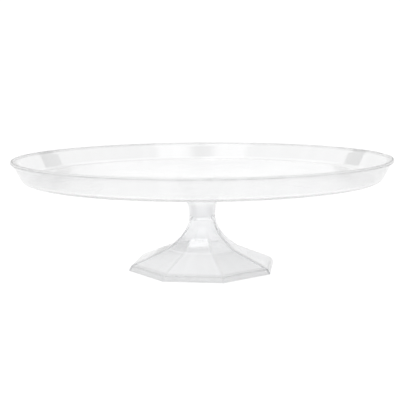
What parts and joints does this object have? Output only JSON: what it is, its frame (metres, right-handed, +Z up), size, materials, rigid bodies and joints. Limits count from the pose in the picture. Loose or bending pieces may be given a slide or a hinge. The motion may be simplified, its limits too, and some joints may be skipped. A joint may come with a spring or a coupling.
{
  "type": "pedestal cake stand",
  "caption": "Clear plastic cake stand: a round dish with a flared wall and a thin lip, on a hollow octagonal pedestal with a waisted neck.",
  "frame": {"origin": "on the table, at the centre of the foot, on the vertical axis of the stand", "axes": "+Z up along the axis of the stand; +X and +Y point at the middles of two neighbouring flats of the octagonal foot"},
  "size_m": [0.35, 0.35, 0.105],
  "materials": {
    "clear_tray": "clear polystyrene, smooth, very slightly hazy",
    "clear_collar": "clear polystyrene, polished facets",
    "clear_pedestal": "clear polystyrene, polished facets"
  },
  "bodies": {
    "pedestal": {"pedestal": "clear_pedestal"},
    "tray": {"tray": "clear_tray", "tray_collar": "clear_collar"}
  },
  "joints": [
    {"name": "tray_lift", "type": "slide", "parent": "pedestal", "child": "tray", "axis": [0, 0, 1], "range_m": [0, 0.02]}
  ]
}
